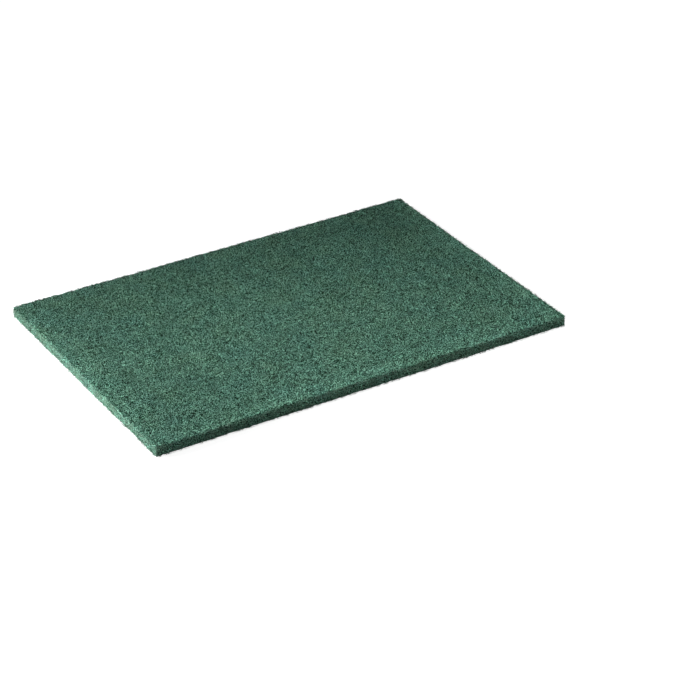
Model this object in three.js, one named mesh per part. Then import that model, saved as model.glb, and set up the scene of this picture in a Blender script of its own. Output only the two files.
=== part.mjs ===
// A rectangular scouring pad: one slab of springy non-woven fibre web, bonded with resin and cut to size.
// Millimetres, +Z up. The origin is the middle of the face that the pad lies on, and +X is along its length.
import * as THREE from "three";
import { LoftGeometry } from "three/addons/geometries/LoftGeometry.js";

// Driving dimensions
const LENGTH = 228.6; // 9 inches
const WIDTH = 152.4; // 6 inches
const THICKNESS = 6.4; // a quarter inch, over the open web
const CORNER_RADIUS = 3.2; // the cut's corners, seen from above

// The blade nips the web, so the rim is thinner than the middle and its upper edge is rolled over
const RIM_FALL = 0.3; // how much lower the upper face is at the rim
const RIM_BAND = 14; // how far in from the cut that fall begins
const UPPER_ROUND = 0.6; // radius of the rolled upper edge
const LOWER_ROUND = 0.4; // radius of the sharper edge where the blade leaves
const WALL_HOLLOW = 0.25; // how far the cut face draws back between its two edges

// The springy web moves under the blade, so the cut isn't quite straight
const CUT_WANDER = 0.4; // most that the cut lies inside the nominal outline
const WANDER_WAVES = [7, 11]; // two trains of waves, each this many in one trip around the pad

// Facets
const SIDE_STEPS = 14;
const CORNER_STEPS = 5;
const PROFILE_STEPS = 4;

const PAD_GREEN = 0x46675a;

// The cut's outline at some distance inside the nominal one: quarter arcs joined by straight sides.
function outline(inset) {
  const radius = Math.max(CORNER_RADIUS - inset, CORNER_RADIUS / 4);
  const x = LENGTH / 2 - inset - radius;
  const y = WIDTH / 2 - inset - radius;
  const quarter = Math.PI / 2;
  const path = new THREE.Path();
  path.absarc(x, y, radius, 0, quarter);
  path.absarc(-x, y, radius, quarter, 2 * quarter);
  path.absarc(-x, -y, radius, 2 * quarter, 3 * quarter);
  path.absarc(x, -y, radius, 3 * quarter, 4 * quarter);
  path.closePath();
  return path;
}

// Points around an outline, as many on every outline, so that one can be lofted to the next.
function ringPoints(inset) {
  return outline(inset).curves.flatMap((curve) => {
    const steps = curve.isLineCurve ? SIDE_STEPS : CORNER_STEPS;
    return curve.getPoints(steps).slice(0, -1);
  });
}

// How far the blade ran inwards at some part of a turn around the pad, from 0 to 1.
function wander(turn) {
  const waves = WANDER_WAVES.map((count) => Math.sin(count * (2 * Math.PI * turn + 1)));
  const mean = waves.reduce((sum, wave) => sum + wave, 0) / waves.length;
  return (1 + mean) / 2;
}

// The cut's section, as inset against height: lower edge, cut face, rolled upper edge, rise to the open web.
function sectionProfile() {
  const rim = THICKNESS - RIM_FALL;
  const middle = (UPPER_ROUND + RIM_BAND) / 2;
  const profile = new THREE.Path();
  profile.absarc(LOWER_ROUND, LOWER_ROUND, LOWER_ROUND, -Math.PI / 2, -Math.PI, true);
  profile.quadraticCurveTo(2 * WALL_HOLLOW, rim / 2, 0, rim - UPPER_ROUND);
  profile.absarc(UPPER_ROUND, rim - UPPER_ROUND, UPPER_ROUND, Math.PI, Math.PI / 2, true);
  profile.bezierCurveTo(middle, rim, middle, THICKNESS, RIM_BAND, THICKNESS);
  return profile.getPoints(PROFILE_STEPS);
}

// One closed ring of the loft. The wander fades towards the open web, which the blade doesn't reach.
function section({ x: inset, y: height }) {
  const fade = 1 - inset / RIM_BAND;
  const inner = ringPoints(inset + CUT_WANDER * fade);
  return ringPoints(inset).map((outer, i) => {
    const { x, y } = outer.lerp(inner[i], wander(i / inner.length));
    return new THREE.Vector3(x, y, height);
  });
}

function scouringPad() {
  const sections = sectionProfile().map(section);
  const geometry = new LoftGeometry(sections, { capStart: true, capEnd: true });
  geometry.computeBoundingBox();
  const middle = geometry.boundingBox.getCenter(new THREE.Vector3());
  geometry.translate(-middle.x, -middle.y, 0);
  const material = new THREE.MeshStandardMaterial({ color: PAD_GREEN, roughness: 0.95, metalness: 0 });
  const pad = new THREE.Mesh(geometry, material);
  pad.name = "scouring_pad";
  return pad;
}

const part = new THREE.Group();
part.add(scouringPad());

export default part;
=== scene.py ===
# %% [markdown]
# # A scouring pad
# The pad is one slab of springy web. Crimped fibres are laid as a mat, bonded where they cross by a resin
# that carries fine grit, and cut to size with a blade. The frame holds the slab at its real size. This
# lesson gives it the open web that an eye sees: a dark core, layers of strands over it, and cut edges with
# loose ends. Lengths are in metres, and MM makes a millimetre of them.

# %% The frame
import math
import random

import bmesh
import bpy
from mathutils import Matrix, Vector, noise


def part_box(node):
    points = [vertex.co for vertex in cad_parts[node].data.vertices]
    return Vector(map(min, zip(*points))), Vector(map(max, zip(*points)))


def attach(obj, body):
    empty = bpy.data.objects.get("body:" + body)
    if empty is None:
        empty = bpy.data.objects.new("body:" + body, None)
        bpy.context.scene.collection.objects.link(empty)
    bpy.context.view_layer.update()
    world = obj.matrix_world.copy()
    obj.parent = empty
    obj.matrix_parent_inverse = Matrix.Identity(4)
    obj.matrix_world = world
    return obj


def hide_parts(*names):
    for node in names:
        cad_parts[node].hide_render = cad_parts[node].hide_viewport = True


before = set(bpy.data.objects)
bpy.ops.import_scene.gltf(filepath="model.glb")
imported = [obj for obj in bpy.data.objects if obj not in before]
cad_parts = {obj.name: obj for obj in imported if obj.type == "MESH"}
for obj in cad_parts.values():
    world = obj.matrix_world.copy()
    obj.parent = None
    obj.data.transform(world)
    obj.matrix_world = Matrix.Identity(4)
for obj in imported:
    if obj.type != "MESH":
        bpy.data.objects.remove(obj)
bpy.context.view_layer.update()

PAD_LOW, PAD_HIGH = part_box("scouring_pad")
MM = 0.001
HALF_LENGTH = (PAD_HIGH[0] - PAD_LOW[0]) / 2
HALF_WIDTH = (PAD_HIGH[1] - PAD_LOW[1]) / 2
THICKNESS = PAD_HIGH[2] - PAD_LOW[2]
print(f"pad {2 * HALF_LENGTH / MM:.1f} x {2 * HALF_WIDTH / MM:.1f} x {THICKNESS / MM:.1f} mm")

# %% [markdown]
# ## The camera
# A product photograph is taken from some way off with a long lens, so the slab's far side is hardly smaller
# than its near side. The bearing, height and distance were fitted to the four corners of the upper face.

# %% A long lens, from the front left
CAMERA_BEARING = math.radians(-31.72)
CAMERA_HEIGHT = math.radians(30.35)
CAMERA_DISTANCE = 1170 * MM
CAMERA_AIM = Vector((11.3, -39.5, 0)) * MM
LENS_LENGTH = 124.1
SENSOR_WIDTH = 36
NEAREST_SEEN = 0.05
FURTHEST_SEEN = 50


def towards(bearing, height):
    """A unit vector from the pad to something at a bearing from the front and a height above the floor."""
    level = math.cos(height)
    return Vector((math.sin(bearing) * level, -math.cos(bearing) * level, math.sin(height)))


scene = bpy.context.scene
lens = bpy.data.cameras.new("photo_camera")
lens.lens = LENS_LENGTH
lens.sensor_width = SENSOR_WIDTH
lens.clip_start = NEAREST_SEEN
lens.clip_end = FURTHEST_SEEN
camera = bpy.data.objects.new("photo_camera", lens)
scene.collection.objects.link(camera)
back = towards(CAMERA_BEARING, CAMERA_HEIGHT)
camera.location = CAMERA_AIM + back * CAMERA_DISTANCE
camera.rotation_euler = (-back).to_track_quat("-Z", "Y").to_euler()
scene.camera = camera
print("camera at", [round(v, 3) for v in camera.location])

# %% [markdown]
# ## Nodes in few words
# A material is a graph of nodes. A few helpers add a node, feed its sockets and work out sums, so that each
# finish below reads as a list of what it is made of. A socket takes a link or a plain value, so one helper
# looks at what it was given and does either.


# %% Helpers for node graphs
def feed_socket(tree, value, socket):
    """Gives a socket its value: a link from another socket, or a plain number or colour."""
    if isinstance(value, bpy.types.NodeSocket):
        tree.links.new(value, socket)
    else:
        socket.default_value = value


def feed(tree, node, **inputs):
    """Gives a node's input sockets their values by name."""
    for name, value in inputs.items():
        feed_socket(tree, value, node.inputs[name.replace("_", " ")])


def add_node(tree, kind, settings=(), **inputs):
    """A new node, with its settings and what feeds its input sockets."""
    node = tree.nodes.new(kind)
    for name, value in dict(settings).items():
        setattr(node, name, value)
    feed(tree, node, **inputs)
    return node


def worked_out(tree, operation, *values):
    """The result of one sum on sockets or plain numbers."""
    node = add_node(tree, "ShaderNodeMath", {"operation": operation})
    for value, socket in zip(values, node.inputs):
        feed_socket(tree, value, socket)
    return node.outputs[0]


def mapped(tree, value, low, high, to_low, to_high):
    """A value that runs from to_low to to_high while another runs from low to high."""
    node = add_node(tree, "ShaderNodeMapRange", Value=value)
    feed(tree, node, From_Min=low, From_Max=high, To_Min=to_low, To_Max=to_high)
    return node.outputs["Result"]


def own_place(tree):
    """Where a point lies on its own piece, in metres."""
    return add_node(tree, "ShaderNodeTexCoord").outputs["Object"]


def new_finish(name):
    """A new material, with its node tree and the shader that gives its look."""
    material = bpy.data.materials.new(name)
    material.use_nodes = True
    return material, material.node_tree, material.node_tree.nodes["Principled BSDF"]


# %% [markdown]
# ## The studio
# The ground in a product photograph is white, but it still takes a soft shadow. So the floor is a pale grey
# that the lamps shade, and a glow that only the camera sees lifts it to white. The glow rises away from the
# pad, where no shadow has to show. The room is treated alike: white to the camera, dim as a light.

# %% Floor and room
FLOOR_HALF = 4.0
FLOOR_CELLS = 8
FLOOR_GREY = (0.6, 0.6, 0.6, 1)
WHITE = (1, 1, 1, 1)
MATT_ROUGHNESS = 0.9
MATT_SHINE = 0.1
NEAR_GLOW = 0.82
FAR_GLOW = 0.97
GLOW_RISE = (0.145, 0.22)
ROOM_LIGHT = 0.13


def seen_directly(tree):
    """One where a ray comes from the camera, a mirror or glass, and nought where it carries light."""
    ray = add_node(tree, "ShaderNodeLightPath").outputs
    plain = worked_out(tree, "MAXIMUM", ray["Is Camera Ray"], ray["Is Glossy Ray"])
    return worked_out(tree, "MAXIMUM", plain, ray["Is Transmission Ray"])


def floor_paint():
    """A matt pale grey that glows for the camera alone, more so further from the pad."""
    paint, tree, shader = new_finish("studio_floor_paint")
    away = add_node(tree, "ShaderNodeVectorMath", {"operation": "LENGTH"}, Vector=own_place(tree))
    glow = mapped(tree, away.outputs["Value"], *GLOW_RISE, NEAR_GLOW, FAR_GLOW)
    shown = worked_out(tree, "MULTIPLY", seen_directly(tree), glow)
    feed(tree, shader, Base_Color=FLOOR_GREY, Roughness=MATT_ROUGHNESS, Specular_IOR_Level=MATT_SHINE)
    feed(tree, shader, Emission_Color=WHITE, Emission_Strength=shown)
    return paint


def studio_floor():
    bm = bmesh.new()
    bmesh.ops.create_grid(bm, x_segments=FLOOR_CELLS, y_segments=FLOOR_CELLS, size=FLOOR_HALF)
    mesh = bpy.data.meshes.new("studio_floor")
    bm.to_mesh(mesh)
    bm.free()
    mesh.materials.append(floor_paint())
    floor = bpy.data.objects.new("studio_floor", mesh)
    scene.collection.objects.link(floor)


def studio_room():
    room = bpy.data.worlds.new("studio_room")
    room.use_nodes = True
    tree = room.node_tree
    strength = mapped(tree, seen_directly(tree), 0, 1, ROOM_LIGHT, 1)
    feed(tree, tree.nodes["Background"], Color=WHITE, Strength=strength)
    scene.world = room


scene.view_settings.view_transform = "Standard"
studio_floor()
studio_room()
print("studio: a white floor and a dim room")

# %% [markdown]
# ## The lamps
# A web shows best when light rakes across it, because each strand then shades its neighbour. The key lamp
# is low, beyond the pad's left end. Alone it would leave the front right corner dull, so a small fill lamp
# hangs over that corner. Each is a square area lamp turned to one place on the pad.

# %% Two lamps
KEY_BEARING = math.radians(-112)
KEY_HEIGHT = math.radians(21)
KEY_DISTANCE = 0.62
KEY_AIM = Vector((25, -75, 0)) * MM
KEY_SIZE = 0.2
KEY_SPREAD = math.radians(32)
KEY_POWER = 0.435
FILL_BEARING = math.radians(40)
FILL_HEIGHT = math.radians(60)
FILL_DISTANCE = 0.35
FILL_AIM = Vector((114, -76, 0)) * MM
FILL_SIZE = 0.1
FILL_POWER = 0.29


def soft_lamp(name, bearing, height, distance, aim):
    """A square lamp behind a cloth, pointed at one place on the pad."""
    data = bpy.data.lights.new(name, "AREA")
    data.shape = "SQUARE"
    lamp = bpy.data.objects.new(name, data)
    lamp.location = towards(bearing, height) * distance
    lamp.rotation_euler = (lamp.location - aim).to_track_quat("Z", "Y").to_euler()
    scene.collection.objects.link(lamp)
    return data


key_lamp = soft_lamp("key_lamp", KEY_BEARING, KEY_HEIGHT, KEY_DISTANCE, KEY_AIM)
key_lamp.size = KEY_SIZE
key_lamp.spread = KEY_SPREAD
key_lamp.energy = KEY_POWER
fill_lamp = soft_lamp("fill_lamp", FILL_BEARING, FILL_HEIGHT, FILL_DISTANCE, FILL_AIM)
fill_lamp.size = FILL_SIZE
fill_lamp.energy = FILL_POWER
print("lamps:", key_lamp.name, fill_lamp.name)

# %% [markdown]
# ## The shape of the rim
# Every layer is first made as part of a plain block. Then its points go through one function, which rounds
# the block's corners, lets the cut wander as the web moved under the blade, and rolls the upper edge over.
# Because core and strands go through the same function, they stay together.

# %% Corners, wander and rolled edges
CORNER_RADIUS = 1.6 * MM
CORNER_LEAST = 0.3
UPPER_ROUND = 0.25 * MM
LOWER_ROUND = 0.15 * MM
RIM_FALL = 0.15 * MM
RIM_BAND = 14 * MM
CUT_WANDER = 0.2 * MM
WANDER_WAVES = (7, 11)


def edge_fall(inset, radius):
    """How far a quarter-round edge has dropped at some distance in from it."""
    short = radius - min(max(inset, 0), radius)
    return radius - math.sqrt(radius * radius - short * short)


def rounded_corner(x, y):
    """Draws the points in a block's corner square in to a quarter circle."""
    across = (abs(x) - HALF_LENGTH) / CORNER_RADIUS + 1
    along = (abs(y) - HALF_WIDTH) / CORNER_RADIUS + 1
    if across <= 0 or along <= 0:
        return x, y
    round_across = across * math.sqrt(max(1 - along * along / 2, CORNER_LEAST))
    round_along = along * math.sqrt(max(1 - across * across / 2, CORNER_LEAST))
    new_x = HALF_LENGTH + (round_across - 1) * CORNER_RADIUS
    new_y = HALF_WIDTH + (round_along - 1) * CORNER_RADIUS
    return math.copysign(new_x, x), math.copysign(new_y, y)


def rim_shaped(co):
    """Where a point of the plain block lies on the pad."""
    inset = min(HALF_LENGTH - abs(co.x), HALF_WIDTH - abs(co.y))
    x, y = rounded_corner(co.x, co.y)
    fade = max(1 - max(inset, 0) / RIM_BAND, 0)
    turn = math.atan2(y / HALF_WIDTH, x / HALF_LENGTH)
    waves = sum(math.sin(count * (turn + 1)) for count in WANDER_WAVES) / len(WANDER_WAVES)
    wander = CUT_WANDER * fade * (1 + waves) / 2
    x -= math.copysign(wander * abs(x) / HALF_LENGTH, x)
    y -= math.copysign(wander * abs(y) / HALF_WIDTH, y)
    rise = fade * fade * (3 - 2 * fade)
    lower = edge_fall(inset, LOWER_ROUND)
    upper = THICKNESS - RIM_FALL * rise - edge_fall(inset, UPPER_ROUND)
    return Vector((x, y, lower + (upper - lower) * co.z / THICKNESS))


# %% [markdown]
# ## Flat maps
# Each layer of strands gets a flat map, on which its look can be baked to a picture. A layer on a face is
# mapped as it is seen from above. The strands of the cut edge are mapped as they are seen from outside, in
# four strips, one for each side of the pad. A margin keeps the places inside the picture.

# %% Map places for a layer and for the cut edge
MAP_REACH = 0.48
SIDE_REACH = 0.47
SIDES = 4
STRIP_FOOT = 0.15
STRIP_HEIGHT = 0.7


def seen_from_above(face):
    """Map places for a face of a layer: where it lies on the pad, seen from above."""
    points = [corner.vert.co for corner in face.loops]
    return [(0.5 + MAP_REACH * co.x / HALF_LENGTH, 0.5 + MAP_REACH * co.y / HALF_WIDTH) for co in points]


def seen_from_side(face):
    """Map places for a face of a cut: one strip of the map for each of the pad's four sides."""
    middle = face.calc_center_median()
    on_end = HALF_LENGTH - abs(middle.x) < HALF_WIDTH - abs(middle.y)
    strip = 2 * on_end + ((middle.x if on_end else middle.y) > 0)
    places = []
    for corner in face.loops:
        co = corner.vert.co
        along = co.y / HALF_WIDTH if on_end else co.x / HALF_LENGTH
        height = STRIP_FOOT + STRIP_HEIGHT * co.z / THICKNESS
        places.append((0.5 + SIDE_REACH * along, (strip + height) / SIDES))
    return places


# %% [markdown]
# ## From loose faces to a piece
# Each layer is gathered in a bmesh as part of the plain block and finished in the same few steps. Its
# points first note how near they are to the front or an end, which the finish uses to make the web paler
# there as a painted highlight. Then they take the rim's shape, and the piece is tied to the slab that it
# stands for.

# %% Finishing a piece
RIM_LIGHT_BAND = 20 * MM


def painted_rim_light(co):
    """One at the front and the two ends, where a painted highlight makes the web paler, and nought further
    in.
    """
    inset = min(HALF_LENGTH - abs(co.x), HALF_WIDTH + co.y)
    return min(max(1 - inset / RIM_LIGHT_BAND, 0), 1)


def finished_piece(bm, name, finish, seen=None):
    """A piece from a bmesh, with the rim's shape, smooth faces, outward normals and a flat map."""
    rim_lit = bm.verts.layers.float.new("rim")
    for vert in bm.verts:
        vert[rim_lit] = painted_rim_light(vert.co)
        vert.co = rim_shaped(vert.co)
    for face in bm.faces:
        face.smooth = True
    bmesh.ops.recalc_face_normals(bm, faces=bm.faces[:])
    if seen:
        flat_map = bm.loops.layers.uv.new("OFBake")
        for face in bm.faces:
            for corner, spot in zip(face.loops, seen(face)):
                corner[flat_map].uv = spot
    triangles = sum(len(face.verts) - 2 for face in bm.faces)
    mesh = bpy.data.meshes.new(name)
    bm.to_mesh(mesh)
    bm.free()
    mesh.materials.append(finish)
    piece = bpy.data.objects.new(name, mesh)
    scene.collection.objects.link(piece)
    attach(piece, "root")
    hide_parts("scouring_pad")
    print(f"{name}: {triangles} triangles")
    return piece


# %% [markdown]
# ## Tints
# The finishes are built up as a dyer would: a ground colour, made darker or paler, then seen through tints.
# A scale changes how bright a colour is, a mix runs from one colour to another, and a product lays a tint
# over a colour.

# %% Helpers for colours
MIX_FACTOR, MIX_FROM, MIX_TO = 0, 6, 7
MIX_RESULT = 2


def times(tree, colour, factor):
    """A colour made darker or paler by a factor."""
    node = add_node(tree, "ShaderNodeVectorMath", {"operation": "SCALE"}, Vector=colour, Scale=factor)
    return node.outputs["Vector"]


def mixed(tree, factor, first, second, blend="MIX"):
    """A colour that runs from one to another while a factor runs from 0 to 1."""
    node = add_node(tree, "ShaderNodeMix", {"data_type": "RGBA", "blend_type": blend})
    for place, value in ((MIX_FACTOR, factor), (MIX_FROM, first), (MIX_TO, second)):
        feed_socket(tree, value, node.inputs[place])
    return node.outputs[MIX_RESULT]


def tinted(tree, colour, tint):
    """A colour seen through a tint."""
    return mixed(tree, 1, colour, tint, "MULTIPLY")


def grain(tree, place, scale, detail=2):
    """Noise on the pad's own coordinates, with scale counted in grains for each metre."""
    return add_node(tree, "ShaderNodeTexNoise", Vector=place, Scale=scale, Detail=detail).outputs["Fac"]


# %% [markdown]
# ## The green of the mat
# The fibres are a dull blue green. The mat as a whole drifts between a bluer and a yellower green, has
# patches a little darker or paler, and is painted paler along the front and the two ends, a painted
# highlight. All three are soft, so they are made with coarse noise and with the nearness to the rim that
# each point noted.

# %% Drifting green, in patches, with a painted rim highlight
FIBRE_BLUE_SRGB = (76, 125, 107)
FIBRE_YELLOW_SRGB = (82, 129, 106)
DRIFT_SCALE = 70
DRIFT_DETAIL = 3
PATCH_SCALE = 190
PATCHY = 0.14
NOISE_RANGE = (0.3, 0.7)
RIM_LIGHT_FROM = 0.2
RIM_LIGHT_PALING = 1.28


def srgb(red, green, blue):
    """A colour as it is read off a screen, 0 to 255, as the linear colour that a shader takes."""
    parts = [c / 255 for c in (red, green, blue)]
    return [c / 12.92 if c < 0.04045 else ((c + 0.055) / 1.055) ** 2.4 for c in parts] + [1]


def drifting_green(tree, place):
    """The mat's own green, between a bluer and a yellower one."""
    drift = mapped(tree, grain(tree, place, DRIFT_SCALE, DRIFT_DETAIL), *NOISE_RANGE, 0, 1)
    return mixed(tree, drift, srgb(*FIBRE_BLUE_SRGB), srgb(*FIBRE_YELLOW_SRGB))


def patchy_green_with_painted_rim_light(tree, place):
    """The mat's green, with a painted highlight at the front and the ends, in patches that are darker or
    paler by some part.
    """
    rim = add_node(tree, "ShaderNodeAttribute", {"attribute_name": "rim"}).outputs["Fac"]
    # Painted highlight: the green is made paler towards the front and the two ends.
    colour = times(tree, drifting_green(tree, place), mapped(tree, rim, RIM_LIGHT_FROM, 1, 1, RIM_LIGHT_PALING))
    patches = mapped(tree, grain(tree, place, PATCH_SCALE), *NOISE_RANGE, 1 - PATCHY, 1 + PATCHY)
    return times(tree, colour, patches)


# %% [markdown]
# ## Where the blade has been
# On the two faces the fibres are coated with resin, so they are dark between pale beads; that dark is
# partly the resin's own and partly painted shade of the pores. The blade opens the inside, where the resin
# is thin and the fibre looks paler and more even. A mask says which is which: it is one near the cut or
# well below both faces, and nought elsewhere, on the skin of the faces.

# %% The freshly cut mask
CUT_SKIN = (0.7 * MM, 0.5 * MM)
FACE_SKIN = (1.1 * MM, 0.8 * MM)


def freshly_cut(tree, place):
    """One where the blade has been, and nought on the two faces, up to a hair's breadth from the cut."""
    parts = add_node(tree, "ShaderNodeSeparateXYZ", Vector=place).outputs
    middle = THICKNESS / 2
    off_middle = worked_out(tree, "ABSOLUTE", worked_out(tree, "SUBTRACT", parts["Z"], middle))
    fresh = mapped(tree, off_middle, middle - FACE_SKIN[0], middle - FACE_SKIN[1], 1, 0)
    for part, half in (("X", HALF_LENGTH), ("Y", HALF_WIDTH)):
        out = worked_out(tree, "ABSOLUTE", parts[part])
        near_cut = mapped(tree, out, half - CUT_SKIN[0], half - CUT_SKIN[1], 0, 1)
        fresh = worked_out(tree, "MAXIMUM", fresh, near_cut)
    return fresh


# %% [markdown]
# ## The finish of the strands
# Each fibre is a little darker or paler than the next. The resin sits on it in beads and holds specks of
# pale grit. Between the beads the strands are dark, partly the resin's own dark and partly painted shade of
# the pores, and pits of painted shade darken them further. Beads, pits and grit are far smaller than a
# strand is long, so they are noise cut off sharply at a threshold. The beads are also a little smoother.

# %% Bonded green fibre
GRIT_PALE_SRGB = (160, 192, 172)
TONE_SPREAD = 0.15
GRAIN_SCALE = 1750
GRAIN_DETAIL = 1
BEAD_EDGE = (0.45, 0.53)
PORE_SHADE_SCALE = 1100
PORE_SHADE_EDGE = (0.37, 0.43)
GRIT_SCALE = 2900
GRIT_EDGE = (0.66, 0.74)
GRIT_SHOWS = 0.45
BEAD_RANGE = (0.2, 0.8)
BEAD_ROUGHNESS = (0.9, 0.6)
# The dark between the beads: partly the resin's own, partly painted shade of the pores.
RESIN_AND_PORE_SHADE = (0, 0.12, 0.06, 1)
RESIN_PALE = (2.62, 2.16, 2.3, 1)
CUT_DARK = (0.96, 0.76, 0.78, 1)
CUT_PALE = (2.92, 1.72, 1.96, 1)


def bonded_fibre(name, cut):
    """The strands: each its own tone, beaded with resin and grit, with painted pore shade, paler where cut.
    """
    material, tree, shader = new_finish(name)
    place = own_place(tree)
    tone = add_node(tree, "ShaderNodeAttribute", {"attribute_name": "tone"}).outputs["Fac"]
    toned = mapped(tree, tone, 0, 1, 1 - TONE_SPREAD, 1 + TONE_SPREAD)
    colour = times(tree, patchy_green_with_painted_rim_light(tree, place), toned)
    beads = grain(tree, place, GRAIN_SCALE, GRAIN_DETAIL)
    beaded = mapped(tree, beads, *BEAD_EDGE, 0, 1)
    # Painted shade: pits of noise darken the strands, for the shade of the pores between them.
    pit_shade = mapped(tree, grain(tree, place, PORE_SHADE_SCALE, 0), *PORE_SHADE_EDGE, 0, 1)
    tint = times(tree, mixed(tree, beaded, RESIN_AND_PORE_SHADE, RESIN_PALE), pit_shade)
    if cut:
        fresh_tint = mixed(tree, beaded, CUT_DARK, CUT_PALE)
        tint = mixed(tree, freshly_cut(tree, place), tint, fresh_tint)
    speck = mapped(tree, grain(tree, place, GRIT_SCALE), *GRIT_EDGE, 0, GRIT_SHOWS)
    gritty = mixed(tree, speck, tinted(tree, colour, tint), srgb(*GRIT_PALE_SRGB))
    rough = mapped(tree, beads, *BEAD_RANGE, *BEAD_ROUGHNESS)
    feed(tree, shader, Base_Color=gritty, Roughness=rough, Specular_IOR_Level=MATT_SHINE)
    return material


FACE_FINISH = bonded_fibre("bonded_green_fibre", False)
CUT_FINISH = bonded_fibre("freshly_cut_fibre", True)
print("strand finishes:", FACE_FINISH.name, CUT_FINISH.name)

# %% [markdown]
# ## The finish of the inner web
# Between the strands an eye looks down into more web, a net of fibre round pores that lie in shade. It is
# too deep to be worth modelling, so a cell pattern draws it: the cells are pores, painted near black as
# painted shade, and their borders are threads that a bump raises. The same resin beads, with their painted
# pore shade, lie over it, so it goes with the strands above.

# %% Inner web
NET_SCALE = 1450
THREAD_EDGE = (0.07, 0.18)
THREAD_RELIEF = 0.3 * MM
RELIEF_STRENGTH = 0.8
PAINTED_PORE_SHADE = (0.02, 0.04, 0.03, 1)
THREAD_PALE = (1.4, 1.32, 1.35, 1)


def inner_web():
    """The web under the top strands: a net of fibre round pores, with the pores' shade painted in."""
    material, tree, shader = new_finish("inner_web")
    place = own_place(tree)
    borders = {"feature": "DISTANCE_TO_EDGE"}
    net = add_node(tree, "ShaderNodeTexVoronoi", borders, Vector=place, Scale=NET_SCALE)
    thread = mapped(tree, net.outputs["Distance"], *THREAD_EDGE, 1, 0)
    # Painted shade: the pores are drawn near black, for the shade deep in the web.
    colour = tinted(tree, patchy_green_with_painted_rim_light(tree, place), mixed(tree, thread, PAINTED_PORE_SHADE, THREAD_PALE))
    beaded = mapped(tree, grain(tree, place, GRAIN_SCALE, GRAIN_DETAIL), *BEAD_EDGE, 0, 1)
    colour = tinted(tree, colour, mixed(tree, beaded, RESIN_AND_PORE_SHADE, RESIN_PALE))
    relief = add_node(tree, "ShaderNodeBump", Strength=RELIEF_STRENGTH, Distance=THREAD_RELIEF)
    feed(tree, relief, Height=thread)
    feed(tree, shader, Base_Color=colour, Normal=relief.outputs["Normal"])
    feed(tree, shader, Roughness=MATT_ROUGHNESS, Specular_IOR_Level=MATT_SHINE)
    return material


CORE_FINISH = inner_web()
print("core finish:", CORE_FINISH.name)

# %% [markdown]
# ## The core
# Under the top strands the web is too dense to look into, so the inside is one closed slab a little smaller
# than the pad. It starts as a grid, which extruding makes a slab, and its skin is then pushed in and out by
# noise so that its hollows are the floors of the pores.

# %% A slab with a pitted skin
CORE_CELL = 1.2 * MM
CORE_INSET = 0.7 * MM
CORE_TOP = THICKNESS - 0.6 * MM
CORE_BOTTOM = 0.5 * MM
WALL_CUTS = 3
PIT_DEPTH = 0.2 * MM
PIT_WIDTH = 2.1 * MM
HOLLOW_WIDTH = 6 * MM
HOLLOW_SHARE = 0.6


def web_core():
    bm = bmesh.new()
    columns = round(2 * HALF_LENGTH / CORE_CELL)
    rows = round(2 * HALF_WIDTH / CORE_CELL)
    bmesh.ops.create_grid(bm, x_segments=columns, y_segments=rows, size=1)
    reach = Vector((HALF_LENGTH - CORE_INSET, HALF_WIDTH - CORE_INSET, 1))
    bmesh.ops.scale(bm, vec=reach, verts=bm.verts[:])
    bmesh.ops.translate(bm, vec=(0, 0, CORE_BOTTOM), verts=bm.verts[:])
    raised = bmesh.ops.extrude_face_region(bm, geom=bm.faces[:])["geom"]
    lid = [part for part in raised if isinstance(part, bmesh.types.BMVert)]
    bmesh.ops.translate(bm, vec=(0, 0, CORE_TOP - CORE_BOTTOM), verts=lid)
    uprights = [edge for edge in bm.edges if abs(edge.verts[0].co.z - edge.verts[1].co.z) > MM]
    bmesh.ops.subdivide_edges(bm, edges=uprights, cuts=WALL_CUTS, use_grid_fill=True)
    bmesh.ops.recalc_face_normals(bm, faces=bm.faces[:])
    bm.normal_update()
    for vert in bm.verts:
        pit = noise.noise(vert.co / PIT_WIDTH) + HOLLOW_SHARE * noise.noise(vert.co / HOLLOW_WIDTH)
        vert.co += vert.normal * (pit * PIT_DEPTH)
    return finished_piece(bm, "web_core", CORE_FINISH)


core = web_core()

# %% [markdown]
# ## One strand
# A crimped fibre is a thin tube that bends one way and then another. Spinning a small three-sided face
# about a centre beside it sweeps it along an arc; the next arc starts from the face where the last one
# ended. Two arcs of two steps make a strand of fourteen faces, few enough to be laid by the thousand.

# %% Crimped strands to choose from
STRAND_SEED = 11
STRAND_KINDS = 48
STRAND_WIDTH = 0.22 * MM
WIDTH_SPREAD = (0.75, 1.25)
STRAND_SIDES = 3
ARCS = 2
ARC_STEPS = 2
ARC_RADII_MM = (0.8, 1.8)
ARC_LENGTHS_MM = (1.2, 1.7)
ARC_TILT = 0.6
UP = Vector((0, 0, 1))


def swept_arc(bm, tip, place, ahead, rng):
    """Sweeps a strand's tip along one arc, and tells where it ends and which way it then runs."""
    radius = rng.uniform(*ARC_RADII_MM) * MM
    angle = rng.uniform(*ARC_LENGTHS_MM) * MM / radius
    left = UP.cross(ahead).normalized() * rng.choice((-1, 1))
    side = (left + UP * rng.uniform(-ARC_TILT, ARC_TILT)).normalized()
    axis = ahead.cross(side).normalized()
    centre = place + axis.cross(ahead) * radius
    swept = bmesh.ops.spin(bm, geom=tip, cent=centre, axis=axis, angle=angle, steps=ARC_STEPS)
    turned = Matrix.Rotation(angle, 3, axis)
    return swept["geom_last"], centre + turned @ (place - centre), turned @ ahead


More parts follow.
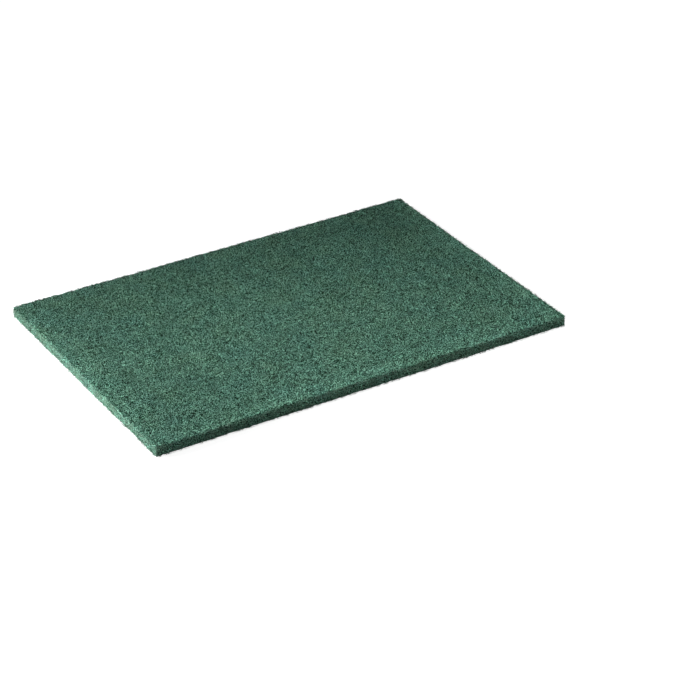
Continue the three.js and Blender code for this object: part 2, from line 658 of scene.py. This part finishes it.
def crimped_strand(name, rng):
    """A strand of a few arcs about its own middle, with one tone of its own."""
    bm = bmesh.new()
    facing_x = Matrix.Rotation(math.pi / 2, 4, "Y")
    radius = STRAND_WIDTH * rng.uniform(*WIDTH_SPREAD) / 2
    bmesh.ops.create_circle(bm, cap_ends=True, segments=STRAND_SIDES, radius=radius, matrix=facing_x)
    tip = bm.verts[:] + bm.edges[:] + bm.faces[:]
    ahead = Vector((1, 0, 0))
    place = Vector((0, 0, 0))
    for _ in range(ARCS):
        tip, place, ahead = swept_arc(bm, tip, place, ahead, rng)
    middle = sum((vert.co for vert in bm.verts), Vector()) / len(bm.verts)
    bmesh.ops.translate(bm, vec=-middle, verts=bm.verts[:])
    level = bm.verts.layers.float.new("tone")
    shade = rng.random()
    for vert in bm.verts:
        vert[level] = shade
    mesh = bpy.data.meshes.new(name)
    bm.to_mesh(mesh)
    bm.free()
    return mesh


strand_rng = random.Random(STRAND_SEED)
STRANDS = [crimped_strand(f"strand_{i}", strand_rng) for i in range(STRAND_KINDS)]
print("strand kinds:", len(STRANDS), "faces in each:", len(STRANDS[0].polygons))

# %% [markdown]
# ## Laying and pressing
# A machine drops the fibres at random and rollers press the mat level. Here a strand is copied, turned and
# added to the web. What stands out of its layer is then pressed back, all the more the further it stood
# out, so that the surface is level but not flat.

# %% Laying strands and pressing them
FULL_TURN = 2 * math.pi
PRESS_SLACK = 0.12 * MM


def lay_strand(web, place, bearing, lean, size, rng):
    """Adds one of the strands to a web."""
    turned = Matrix.Rotation(bearing, 4, "Z") @ Matrix.Rotation(lean, 4, "Y")
    strand = rng.choice(STRANDS).copy()
    strand.transform(Matrix.Translation(place) @ turned @ Matrix.Scale(size, 4))
    web.from_mesh(strand)
    bpy.data.meshes.remove(strand)


def pressed(beyond):
    """What is left of a height that stood out of a layer: never more than PRESS_SLACK."""
    return PRESS_SLACK * (1 - math.exp(-beyond / PRESS_SLACK))


def press_level(web, lowest, highest):
    """Brings what stands out of a layer back to it."""
    for vert in web.verts:
        if vert.co.z > highest:
            vert.co.z = highest + pressed(vert.co.z - highest)
        if vert.co.z < lowest:
            vert.co.z = lowest - pressed(lowest - vert.co.z)


# %% [markdown]
# ## Cutting
# Four blades cut the mat to the pad's outline. A blade is a plane that cuts every strand it meets and takes
# away what lies outside. That leaves the cut strands open, so the rings of edges on the plane are filled,
# and each strand is a closed tube again.

# %% Cutting a web to the outline
ON_BLADE = 1e-9
BLADES = (Vector((1, 0, 0)), Vector((-1, 0, 0)), Vector((0, 1, 0)), Vector((0, -1, 0)))


def cut_to_outline(web, inset=0):
    """Cuts a web along the four sides of the plain block, or inside them, and closes the cut strands."""
    for side in BLADES:
        reach = abs(side.x) * HALF_LENGTH + abs(side.y) * HALF_WIDTH - inset
        everything = web.verts[:] + web.edges[:] + web.faces[:]
        cut = bmesh.ops.bisect_plane(
            web, geom=everything, dist=ON_BLADE, plane_co=side * reach, plane_no=side, clear_outer=True
        )
        ends = [part for part in cut["geom_cut"] if isinstance(part, bmesh.types.BMEdge)]
        bmesh.ops.edgeloop_fill(web, edges=ends)


# %% [markdown]
# ## The two faces
# An open web is several strands deep. The upper face has three layers, each a little higher than the last,
# so that an eye looks past the top strands to the ones below. The mat isn't even, so some strands are left
# out where noise says that it is thin. The underside, which is pressed on the table, has one layer.

# %% Layers of strands
UPPER_COUNT = 7300
LOWER_COUNT = 6200
UPPER_LAYERS = (
    ("upper_web_deep", 0.8, 0.45, 21),
    ("upper_web_middle", 0.6, 0.25, 22),
    ("upper_web_surface", 0.4, 0.15, 23),
)
LOWER_BAND = (0.15 * MM, 0.5 * MM)
LOWER_SEED = 24
SEED_SHIFT = 0.1
LAID_PAST = 3 * MM
FACE_TRIM = 0.25 * MM
THIN_WIDTH = 9 * MM
ALWAYS_LAID = 0.55
LAID_IF_DENSE = 0.45
FACE_LEAN = 0.05
FACE_SIZES = (0.8, 1.2)


def strand_layer(name, count, lowest, highest, seed):
    """A layer of strands over the whole pad, between two heights."""
    rng = random.Random(seed)
    web = bmesh.new()
    laid = 0
    while laid < count:
        x = rng.uniform(-1, 1) * (HALF_LENGTH + LAID_PAST)
        y = rng.uniform(-1, 1) * (HALF_WIDTH + LAID_PAST)
        dense = 0.5 + noise.noise(Vector((x, y, seed * SEED_SHIFT)) / THIN_WIDTH)
        if rng.random() > ALWAYS_LAID + LAID_IF_DENSE * dense:
            continue
        place = Vector((x, y, rng.uniform(lowest, highest)))
        bearing = rng.uniform(0, FULL_TURN)
        lean = rng.gauss(0, FACE_LEAN)
        lay_strand(web, place, bearing, lean, rng.uniform(*FACE_SIZES), rng)
        laid += 1
    press_level(web, lowest, highest)
    cut_to_outline(web, FACE_TRIM)
    finished_piece(web, name, FACE_FINISH, seen_from_above)


for layer, deepest, highest, seed in UPPER_LAYERS:
    strand_layer(layer, UPPER_COUNT, THICKNESS - deepest * MM, THICKNESS - highest * MM, seed)
strand_layer("lower_web", LOWER_COUNT, *LOWER_BAND, LOWER_SEED)

# %% [markdown]
# ## The cut edge
# A blade through the web shows strands that run along the cut and the ends of those that cross it. Just
# under the upper face the blade combs the strands along the cut, which gives the pad its crisp upper line;
# lower down they lie every way. Some ends are short and spring out after the cut, so these are added last.

# %% Strands of the cut faces, and loose ends
EDGE_SEED = 31
EDGE_COUNT = 9000
EDGE_INSETS_MM = (-1.0, 0.6)
EDGE_BAND = (0.12 * MM, THICKNESS - 0.15 * MM)
EDGE_PRESS = (0.12 * MM, THICKNESS - 0.12 * MM)
EDGE_LEAN = 0.15
EDGE_SIZES = (0.7, 1.1)
COMBED_DEPTH = 1.0 * MM
COMBED_SWAY = 0.2
LOOSE_COUNT = 300
LOOSE_INSETS_MM = (0.2, 1.0)
LOOSE_BAND = (0.55 * THICKNESS, THICKNESS - 0.3 * MM)
LOOSE_LEAN = 0.3
LOOSE_SIZES = (0.4, 0.7)
LONG_SHARE = HALF_LENGTH / (HALF_LENGTH + HALF_WIDTH)


def by_the_cut(on_long_side, sign, inset, band, rng):
    """A place somewhere along one of the four sides, at some distance in from its cut."""
    along = rng.uniform(-1, 1)
    height = rng.uniform(*band)
    if on_long_side:
        return Vector((along * HALF_LENGTH, sign * (HALF_WIDTH - inset), height))
    return Vector((sign * (HALF_LENGTH - inset), along * HALF_WIDTH, height))


def lay_cut_strands(web, rng):
    """The strands that fill the four cut faces, combed along the cut near the upper face."""
    for _ in range(EDGE_COUNT):
        on_long_side = rng.random() < LONG_SHARE
        inset = rng.uniform(*EDGE_INSETS_MM) * MM
        sign = rng.choice((-1, 1))
        place = by_the_cut(on_long_side, sign, inset, EDGE_BAND, rng)
        bearing = rng.uniform(0, FULL_TURN)
        if place.z > THICKNESS - COMBED_DEPTH:
            bearing = rng.gauss(0 if on_long_side else math.pi / 2, COMBED_SWAY)
        lean = rng.gauss(0, EDGE_LEAN)
        lay_strand(web, place, bearing, lean, rng.uniform(*EDGE_SIZES), rng)


def lay_loose_ends(web, rng):
    """Short ends that spring out of the cut."""
    for _ in range(LOOSE_COUNT):
        on_long_side = rng.random() < LONG_SHARE
        sign = rng.choice((-1, 1))
        inset = rng.uniform(*LOOSE_INSETS_MM) * MM
        place = by_the_cut(on_long_side, sign, inset, LOOSE_BAND, rng)
        bearing = rng.uniform(0, FULL_TURN)
        lean = rng.gauss(0, LOOSE_LEAN)
        lay_strand(web, place, bearing, lean, rng.uniform(*LOOSE_SIZES), rng)


def cut_edge():
    rng = random.Random(EDGE_SEED)
    web = bmesh.new()
    lay_cut_strands(web, rng)
    press_level(web, *EDGE_PRESS)
    cut_to_outline(web)
    lay_loose_ends(web, rng)
    finished_piece(web, "cut_edge", CUT_FINISH, seen_from_side)


cut_edge()
for strand in STRANDS:
    bpy.data.meshes.remove(strand)
